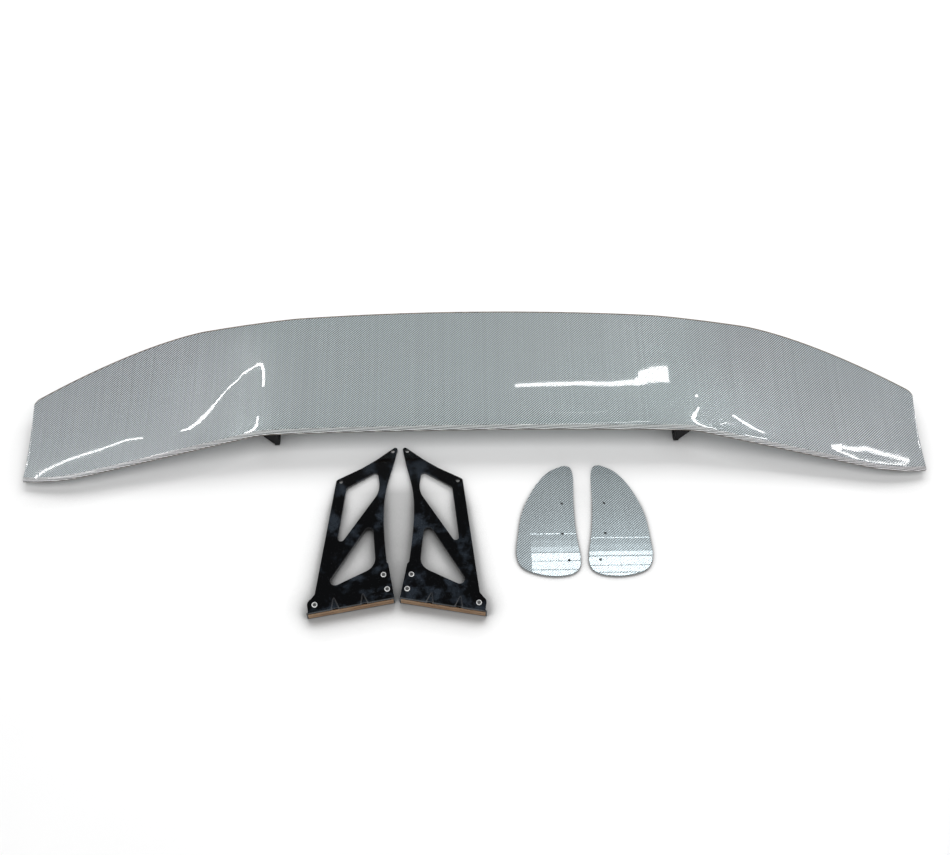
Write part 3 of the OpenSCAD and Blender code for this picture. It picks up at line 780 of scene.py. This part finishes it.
# The bracket's leg along the foot, and the gap between it and the plate
LEG_START, LEG_END = 3, 147.4
LEG_GAP = 0.02
BEND_R = 3.5
TOP_Z = PLATE_T + BRACKET_T
FOOT_DROP = FOOT_W - TOP_Z
REAR_EDGE = [(147, 3.5), (145.4, 61), (149, 118), (155.7, 168), (166.8, 211), (189.2, 263)]
TOP_EDGE = [(160, 276.2), (130, 263), (106, 255.2)]
UPPER_OPENING = [(157.5, 251.5, 6), (156, 211, 45), (62.6, 108, 5.6), (98, 228, 8)]
LOWER_OPENING = [(134, 157.5, 8), (125.8, 65, 26), (28.8, 35.4, 8.6)]
REAR_HOLE = (191.2, 288)
FRONT_HOLE = (90.4, 242.7)
BRACKET_HOLES = [(15.5, 13.2), (138.4, 17.9), (136.4, 45.3)]
MOUNT_HOLE_R = 3.25


def place_by_mounts(local_a, local_b, local_z, name_a, name_b, mirrored):
    """Matrix from a piece's own millimetres to the row frame, from two of its holes."""
    a, b = (Vector(MOUNTS[n]["pos_m"]) for n in (name_a, name_b))
    up = Vector(MOUNTS[name_a]["axis"]).normalized()
    along = (b - a).normalized()
    across = up.cross(along) * (-1 if mirrored else 1)
    turn = math.atan2(local_b[1] - local_a[1], local_b[0] - local_a[0])
    ex = along * math.cos(turn) - across * math.sin(turn)
    ey = along * math.sin(turn) + across * math.cos(turn)
    origin = a - (ex * local_a[0] + ey * local_a[1] + up * local_z) * MM
    matrix = Matrix((ex, ey, up)).transposed().to_4x4()
    matrix.translation = origin
    return matrix


def upright_matrix(side):
    """From an upright's own millimetres to the row frame."""
    return place_by_mounts(
        FRONT_HOLE, REAR_HOLE, PLATE_T / 2, f"{side}_upright_front_hole",
        f"{side}_upright_rear_hole", side == "right")


def make_upright_plate(side):
    """Flat black plate with its two openings and two bolt holes."""
    rear = [tuple(p) + (0,) for p in open_curve(REAR_EDGE, 8) if p[1] > 20]
    outline = rounded(
        [(5, 3.5, 1), (147, 3.5, 1)] + rear + [(189.2, 263, 0), (204, 300, 4.2)]
        + [p + (0,) for p in TOP_EDGE] + [(82.5, 247.5, 7), (17.5, 34, 5), (5, 22, 9)])
    holes = [circle((p[0] * MM, p[1] * MM), MOUNT_HOLE_R * MM) for p in (REAR_HOLE, FRONT_HOLE)]
    outlines = [outline, rounded(UPPER_OPENING), rounded(LOWER_OPENING)] + holes
    mesh = flat_plate(f"{side}_plate", outlines, PLATE_T * MM, 0.6 * MM)
    put_in_place(mesh, upright_matrix(side))
    return piece(f"{side}_plate", mesh, f"{side}_upright", f"{side}_upright_plate")


# Pressed darts: place along the foot, half width at the bend, reach up the leg, depth
DARTS = [(48, 7.5, 24, 1.9), (97, 7.0, 22, 1.9)]
DART_REACH_DOWN = 13
DART_WALL = 2.2


def dart_depth(x, d):
    """How deep the pressed darts go at x along the foot and d from the bend."""
    total = np.zeros_like(x)
    for middle, half_width, reach, depth in DARTS:
        fade = np.where(d > 0, 1 - d / reach, 1 + d / DART_REACH_DOWN)
        fade = np.clip(fade, 0, 1)
        inside = (half_width * fade - np.abs(x - middle)) / DART_WALL
        total += depth * np.minimum(1, 3 * fade) * smooth(inside)
    return total


def leg_top(x):
    """Height of the bracket's slanted top edge over the foot."""
    low_corner, high_corner = (3, 22.5), (146.2, 69.5)
    chain = np.array(corner((3, 0.5), low_corner, high_corner, 11)
                     + corner(low_corner, high_corner, (147.6, 0.5), 3))
    return np.interp(x, chain[:, 0], chain[:, 1])


def make_bracket(side):
    """Folded foot bracket with its pressed darts: foot, bend, then leg."""
    share = np.linspace(0, 1, 260)[:, None]
    ease = np.where(share < 0.1, 0.1 * (share / 0.1) ** 1.6, share)
    ones = np.ones_like(ease)
    foot_x = FOOT_LEN * ease
    leg_x = LEG_START + (LEG_END - LEG_START) * ease
    half_arc = BEND_R * math.pi / 4
    # Rows up the foot and round the bend: places, the way in, and the way from the bend
    rows = [(foot_x, 0, z, 1, 0, z - (TOP_Z - BEND_R) - half_arc)
            for z in np.linspace(-FOOT_DROP, TOP_Z - BEND_R, 12, endpoint=False)]
    for angle in np.radians(np.linspace(0, 90, 9)):
        t = angle / (math.pi / 2)
        rows.append((foot_x + (leg_x - foot_x) * t, BEND_R * (1 - math.cos(angle)),
                     TOP_Z - BEND_R * (1 - math.sin(angle)), math.cos(angle),
                     math.sin(angle), half_arc * (2 * t - 1)))
    outer, inner = [], []
    for x, y, z, in_y, in_z, from_bend in rows:
        press = dart_depth(x, np.full_like(x, from_bend))
        outer.append(np.concatenate([x, y + press * in_y, z - press * in_z], 1))
        inner.append(np.concatenate(
            [x, ones * (y + BRACKET_T * in_y), ones * (z - BRACKET_T * in_z)], 1))
    top = leg_top(leg_x)
    for share in np.linspace(0, 1, 56)[1:]:
        y = BEND_R + (top - BEND_R) * share
        press = dart_depth(leg_x, y - BEND_R + half_arc)
        outer.append(np.concatenate([leg_x, y, TOP_Z * ones - press], 1))
        inner.append(np.concatenate([leg_x, y, (PLATE_T + LEG_GAP) * ones], 1))
    outer = np.stack(outer, 1) * MM
    inner = np.stack(inner, 1) * MM
    mesh = put_in_place(shell(f"{side}_bracket", outer, inner, sharp_angle=40),
                        upright_matrix(side))
    made = piece(f"{side}_bracket", mesh, f"{side}_upright", f"{side}_foot_bracket")
    return round_edges(made, 0.5 * MM, 2, 55)


def rounded_bar(low, high, radius):
    """Box between two corners in mm, with all edges rounded."""
    bm = bmesh.new()
    bmesh.ops.create_cube(bm, size=1.0)
    low, high = Vector(low) * MM, Vector(high) * MM
    for v in bm.verts:
        v.co = Vector(low[i] + (v.co[i] + 0.5) * (high[i] - low[i]) for i in range(3))
    bmesh.ops.bevel(bm, geom=bm.edges[:], offset=radius * MM, segments=2, affect="EDGES")
    mesh = bpy.data.meshes.new("bar")
    bm.to_mesh(mesh)
    bm.free()
    return mesh


def make_tape(side):
    """Two strips of mounting tape under their liner, with a gap along the middle."""
    margin, tape_t, gap = 2.2, 1.0, 1.1
    low, high = margin - FOOT_DROP, FOOT_W - FOOT_DROP - margin - 2
    middle = (low + high) / 2
    strips = [(low, middle - gap / 2), (middle + gap / 2, high)]
    meshes = [rounded_bar((margin, -tape_t, a), (FOOT_LEN - margin, 0, b), 0.25)
              for a, b in strips]
    mesh = put_in_place(joined(f"{side}_tape", meshes), upright_matrix(side))
    return piece(f"{side}_tape", mesh, f"{side}_upright", f"{side}_foot_tape")


def lathe(profiles, steps=48):
    """Closed mesh from (radius, z) rings in mm; a ring may be hexagonal."""
    points, faces = [], []
    for radius, z, hexagonal in profiles:
        for i in range(steps):
            a = 2 * math.pi * i / steps
            r = radius
            if hexagonal:
                r /= math.cos((a % (math.pi / 3)) - math.pi / 6)
            points.append((r * math.cos(a) * MM, r * math.sin(a) * MM, z * MM))
    for k in range(len(profiles) - 1):
        for i in range(steps):
            j = (i + 1) % steps
            faces.append((k * steps + i, k * steps + j, (k + 1) * steps + j, (k + 1) * steps + i))
    faces.append(tuple(range(steps))[::-1])
    faces.append(tuple(range((len(profiles) - 1) * steps, len(profiles) * steps)))
    return mesh_from("turned", points, faces, 30)


def button_screw(r, head_r, head_h, length, socket_r):
    """Button-head socket screw: shank down, domed head on z = 0, hexagonal socket."""
    thread = []
    z = -length
    thread.append((r - 0.5, z, False))
    z += 0.5
    while z < -1.0:
        thread += [(r, z, False), (r - 0.35, z + 0.5, False)]
        z += 1.0
    dome = [(head_r * math.cos(math.radians(11 * i)),
             head_h * math.sin(math.radians(15 * i)), False) for i in range(7)]
    rim = [(dome[-1][0] * 0.96, head_h, False)]
    socket = [(socket_r + 0.12, head_h, True), (socket_r, head_h - 0.15, True),
              (socket_r, head_h - 1.8, True), (socket_r * 0.5, head_h - 2.1, False)]
    seat = [(r, 0, False), (head_r - 0.25, 0, False), (head_r, 0.25, False)]
    return lathe(thread + seat + dome[1:] + rim + socket)


def make_bracket_screws(side):
    """The three screws that hold a bracket to its plate."""
    matrix = upright_matrix(side)
    meshes = []
    for x, y in BRACKET_HOLES:
        mesh = button_screw(r=3, head_r=5.25, head_h=3.3, length=15.4, socket_r=2)
        mesh.transform(Matrix.Translation((x * MM, y * MM, TOP_Z * MM)))
        meshes.append(mesh)
    mesh = put_in_place(joined(f"{side}_screws", meshes, 30), matrix)
    return piece(f"{side}_screws", mesh, f"{side}_upright", f"{side}_bracket_screws")


for side in ("left", "right"):
    make_upright_plate(side)
    make_bracket(side)
    make_tape(side)
    make_bracket_screws(side)


# ---- end plates ----

STRAIGHT_SIDE = [(23, 128), (25.5, 106), (22.5, 56), (23.5, 5), (28.3, -42), (25, -66)]
FRONT_END = [(8, -77.5), (-22, -79.5), (-52, -73.5), (-74, -61), (-81.5, -38)]
BOWED_SIDE = [(-78, -5), (-68, 44), (-45, 92), (-20, 121), (3, 133), (15, 134.5)]
END_HOLES = [(2, 59), (0, 0), (8.5, -51)]
END_PLATE_T = 3
END_HOLE_R = 2.2


def make_end_plate(side):
    """Flat twill end plate with its three holes."""
    outline = closed_curve(STRAIGHT_SIDE + FRONT_END + BOWED_SIDE, 8)
    holes = [circle((x * MM, y * MM), END_HOLE_R * MM, 28) for x, y in END_HOLES]
    mesh = flat_plate(f"{side}_end", [outline] + holes, END_PLATE_T * MM, 0.5 * MM)
    matrix = place_by_mounts(
        END_HOLES[1], END_HOLES[0], END_PLATE_T / 2, f"{side}_end_plate_hole_middle",
        f"{side}_end_plate_hole_high", side == "right")
    put_in_place(mesh, matrix)
    spots = np.array([(v.co.x, v.co.y + v.co.z) for v in mesh.vertices])
    while mesh.uv_layers:
        mesh.uv_layers.remove(mesh.uv_layers[0])
    lay_cloth(mesh, spots)
    return piece(f"{side}_end", mesh, f"{side}_end_plate", f"{side}_end_plate")


for side in ("left", "right"):
    make_end_plate(side)


# ---- CAD nodes that stay ----

def dress_cad_nodes():
    """Gives every CAD node that still shows its finish and softly rounded edges."""
    for name, node in frame["nodes"].items():
        if node.hide_render:
            continue
        node.data.materials.clear()
        finish = LUG_BLACK if name.endswith("_lug") else FINISHES[NODE_SLOT[name]]
        node.data.materials.append(finish)
        weld = node.modifiers.new("weld", "WELD")
        weld.merge_threshold = 0.001 * MM
        round_edges(node, 0.25 * MM, 2, 40)


dress_cad_nodes()


# ---- floor, light and camera ----

FLOOR_HALF = 8.0
FLOOR_GAP = 0.5 * MM
SHADE_REACH = 50 * MM
SHADE_GREY = (0.05, 0.05, 0.05, 1)
HOLE_SHADE_GREY = (0.03, 0.03, 0.03, 1)
# Painted soft shadows: grey patches midway between two mounts, which stay when the pieces lift:
# mounts, half width, front end along Y, strength
SHADOW_PATCHES = [
    ("upright_front_hole", 0.11, -0.28, 0.48),
    ("end_plate_hole_middle", 0.03, -0.16, 0.16),
]


def make_floor():
    """Pale paper floor with painted shade under and between the pieces."""
    g = Shader("floor")
    mottle = g.noise(g.place(), 2.0, 3.0)
    colour = g.mix(g.remap(mottle, 0.3, 0.7), (0.88, 0.88, 0.88, 1), (0.90, 0.90, 0.90, 1))
    # Painted shade: the paper's colour greys where something lies close to it, most of all round
    # the loose pieces
    near = g.node("ShaderNodeAmbientOcclusion", samples=12)
    near.inputs["Distance"].default_value = SHADE_REACH
    shade = near.outputs["AO"]
    shade_strength = g.remap(g.axis("Y"), -0.03, -0.08, 0.25, 1.0)
    painted_shade = g.math("MULTIPLY", g.remap(shade, 0.75, 0.99, 0.6, 0.0), shade_strength)
    colour = g.mix(painted_shade, colour, SHADE_GREY)
    # Painted shadow between each pair of mounts
    for mount, width, front, strength in SHADOW_PATCHES:
        middle = sum(MOUNTS[f"{side}_{mount}"]["pos_m"][0] for side in ("left", "right")) / 2
        away = g.math("ABSOLUTE", g.math("SUBTRACT", g.axis("X"), middle))
        gap = g.math("MULTIPLY", g.remap(away, 0.25 * width, width, strength, 0.0),
                     g.remap(g.axis("Y"), front, front + 0.13))
        gap = g.math("MULTIPLY", gap, g.remap(g.axis("Y"), -0.01, -0.05))
        colour = g.mix(gap, colour, SHADE_GREY)
    # Painted shade: the floor shows dark inside the loose pieces' small holes
    holes = g.math("MULTIPLY", g.remap(shade, 0.3, 0.45, 1.0, 0.0),
                   g.remap(g.axis("Y"), -0.02, -0.05))
    colour = g.mix(holes, colour, HOLE_SHADE_GREY)
    finish = g.finish(Base_Color=colour, Roughness=0.9, Specular_IOR_Level=0.1)
    half, z = FLOOR_HALF, FLOOR_Z - FLOOR_GAP
    mesh = bpy.data.meshes.new("floor")
    mesh.from_pydata([(-half, -half, z), (half, -half, z), (half, half, z), (-half, half, z)],
                     [], [(0, 1, 2, 3)])
    mesh.materials.append(finish)
    floor = bpy.data.objects.new("floor", mesh)
    bpy.context.scene.collection.objects.link(floor)


# Soft lights: centre, size, power, target
STUDIO = {
    "key": ((0.3, 2.4, 2.6), (3.6, 1.6), 84, (0, 0.1, 0)),
    "overhead": ((0, -0.6, 3.2), (4.0, 2.0), 55, (0, 0, 0)),
}
# Brightness of the surroundings, from low down to overhead, and the heights between
HORIZON, ZENITH = 1.5, 0.05
HORIZON_Z, ZENITH_Z = 0.10, 0.85


def area_light(name, centre, size, power, target=None):
    """Soft rectangular light facing a target; it shows in no reflection."""
    data = bpy.data.lights.new(name, "AREA")
    data.shape = "RECTANGLE"
    data.size, data.size_y = size
    data.energy = power
    light = bpy.data.objects.new(name, data)
    bpy.context.scene.collection.objects.link(light)
    light.location = centre
    if target is not None:
        aim = Vector(target) - Vector(centre)
        light.rotation_euler = aim.to_track_quat("-Z", "Y").to_euler()
    light.visible_camera = False
    light.visible_glossy = False
    return light


def bright_line(name, height, points, widths, receivers, radiance, colour=(1, 1, 1)):
    """Chain of thin lights through (x, y) points at a height, seen only in reflections."""
    for i, (start, end) in enumerate(zip(points, points[1:])):
        start, end = Vector(start), Vector(end)
        run = end - start
        width = widths[min(i, len(widths) - 1)]
        middle = (start + end) / 2
        light = area_light(f"{name}_{i}", (middle.x, middle.y, height), (run.length, width),
                           radiance * math.pi * run.length * width)
        light.rotation_euler = (0, 0, math.atan2(run.y, run.x))
        light.data.color = colour
        light.visible_glossy = True
        light.visible_diffuse = False
        light.light_linking.receiver_collection = receivers


def make_world():
    """Plain white surroundings, bright at the horizon and dim overhead."""
    world = bpy.data.worlds.new("studio")
    bpy.context.scene.world = world
    world.use_nodes = True
    tree = world.node_tree
    background = tree.nodes["Background"]
    place = tree.nodes.new("ShaderNodeTexCoord")
    split = tree.nodes.new("ShaderNodeSeparateXYZ")
    ramp_node = tree.nodes.new("ShaderNodeMapRange")
    tree.links.new(place.outputs["Generated"], split.inputs[0])
    tree.links.new(split.outputs["Z"], ramp_node.inputs["Value"])
    ramp_node.inputs["From Min"].default_value = HORIZON_Z
    ramp_node.inputs["From Max"].default_value = ZENITH_Z
    ramp_node.inputs["To Min"].default_value = HORIZON
    ramp_node.inputs["To Max"].default_value = ZENITH
    background.inputs["Color"].default_value = (1.0, 1.0, 1.0, 1)
    tree.links.new(ramp_node.outputs[0], background.inputs["Strength"])


def receivers_of(name, prefixes):
    """Collection of the pieces that a set of strips shows in."""
    made = bpy.data.collections.new(name)
    for thing in bpy.context.scene.objects:
        if thing.name.startswith(prefixes):
            made.objects.link(thing)
    return made


# Highlights on the blade: height of the light, points in mm, widths in mm, radiance.
# The places and most widths in SHINES, and the Y values in BANDS, are not chosen by hand:
# separate programs worked them out from where the photograph's highlights lie, so they
# fit the photograph's view only. Without both tables the two soft lights remain.
LOW, MIDDLE = 150 * MM, 300 * MM
SHINES = {
    "left_loop": (LOW, [(-669, 122), (-703, 119), (-741, 110), (-779, 99), (-822, 89),
                        (-851, 82), (-869, 78), (-877, 72)],
                  [1.8, 1.6, 1.3, 1.2, 1.2, 1.2, 2], 26),
    "left_turn": (LOW, [(-876, 77), (-872, 40), (-866, 0)], [3], 26),
    "left_nose": (LOW, [(-866, -10), (-771, -8), (-690, 20), (-610, 43), (-550, 49)], [5], 26),
    "left_slant": (LOW, [(-592, 128), (-575, 130), (-558, 141), (-544, 152), (-528, 166),
                         (-513, 178), (-492, 191), (-474, 199), (-458, 211), (-444, 217),
                         (-430, 217)], [2.5, 6, 7, 5, 2.6, 1.6, 1.6, 1.6, 2.2, 4], 26),
    "left_fall": (LOW, [(-431, 217), (-426, 205), (-426, 182)], [7, 7], 26),
    "left_corner": (LOW, [(-429, 122), (-424, 94), (-428, 70), (-441, 52)], [5, 10, 15], 24),
    "right_dot": (LOW, [(446, 160), (455, 163)], [5], 22),
    "right_hook": (LOW, [(450, 138), (434, 117), (419, 96), (427, 69), (445, 59), (464, 62)],
                   [5, 10, 11, 10, 6], 24),
    "right_arc": (LOW, [(481, 94), (499, 110), (512, 107)], [2, 2.5], 20),
    "right_slant": (LOW, [(519, 136), (537, 124), (558, 109), (577, 100)], [5, 9, 7], 24),
    "right_nose": (LOW, [(524, 61), (552, 64), (574, 72)], [6, 5], 24),
    "right_top": (LOW, [(723, 100), (744, 102), (786, 97), (822, 89), (876, 80)],
                  [7, 3.2, 2.6, 2.0], 24),
    "right_low": (LOW, [(730, 97), (767, 91), (800, 85), (831, 81), (872, 78)],
                  [3, 1.6, 1.5, 1.3], 24),
    "streak": (MIDDLE, [(84, 244), (145, 245), (217, 245), (278, 242), (329, 243), (416, 251)],
               [5.5, 6, 6.5, 7.5, 11], 20),
    "streak_end": (MIDDLE, [(336, 253), (416, 260)], [8], 20),
    "crescent": (MIDDLE, [(142, 167), (182, 161), (232, 158), (268, 168)], [3], 7),
    "crest": (MIDDLE, [(80, 19), (169, 40), (259, 61), (350, 93)], [6], 14),
}
# Bands on the end plates: ends along X, then from and to along Y in mm, and radiance
BANDS = {
    "left": ((100, 205), [
        (-64.9, -63.3, 18), (-91, -78, 1.6), (-101.6, -91, 6), (-119.2, -104, 17),
        (-136.6, -121, 17), (-156, -138.6, 17)]),
    "right": ((190, 345), [
        (-74.2, -72.8, 18), (-100, -86, 1.6), (-109.6, -101.6, 14), (-129.3, -112.6, 17),
        (-143.4, -131, 17), (-158, -145.6, 17)]),
}
COOL = (0.84, 0.95, 1.0)


def make_lights():
    """The two soft lights, then the thin ones that draw the highlights."""
    for name, (centre, size, power, target) in STUDIO.items():
        area_light(name, centre, size, power, target)
    blade = receivers_of("shine_on_blade", ("wing_",))
    for name, (height, points, widths, radiance) in SHINES.items():
        bright_line(name, height, [(x * MM, y * MM) for x, y in points],
                    [w * MM for w in widths], blade, radiance)
    for side, (ends, rows) in BANDS.items():
        plate = receivers_of(f"shine_on_{side}_end_plate", (f"{side}_end",))
        for i, (near, far, radiance) in enumerate(rows):
            y = (near + far) / 2 * MM
            bright_line(f"{side}_band_{i}", LOW, [(x * MM, y) for x in ends],
                        [(far - near) * MM], plate, radiance, COOL)


# Camera fitted to the photograph: place, heading, pitch and roll in degrees, lens in mm
CAMERA_PLACE = (-0.0416, -0.9650, 1.740)
CAMERA_ANGLES = (2.087, 58.85, 1.11)
SENSOR_WIDTH = 36.0
LENS = 41.68


def make_camera():
    """Camera at the photograph's viewing angle."""
    data = bpy.data.cameras.new("camera")
    data.sensor_width = SENSOR_WIDTH
    data.lens = LENS
    data.clip_start, data.clip_end = 0.05, 60.0
    camera = bpy.data.objects.new("camera", data)
    bpy.context.scene.collection.objects.link(camera)
    heading, pitch, roll = (math.radians(angle) for angle in CAMERA_ANGLES)
    right = Vector((math.cos(heading), -math.sin(heading), 0))
    ahead = Vector((math.sin(heading) * math.cos(pitch),
                    math.cos(heading) * math.cos(pitch), -math.sin(pitch)))
    up = right.cross(ahead)
    x_axis = right * math.cos(roll) + up * math.sin(roll)
    y_axis = up * math.cos(roll) - right * math.sin(roll)
    camera.matrix_world = Matrix.LocRotScale(
        Vector(CAMERA_PLACE),
        Matrix((x_axis, y_axis, -ahead)).transposed().to_quaternion(), None)
    bpy.context.scene.camera = camera


bpy.context.scene.view_settings.view_transform = "Standard"
make_floor()
make_world()
make_lights()
make_camera()
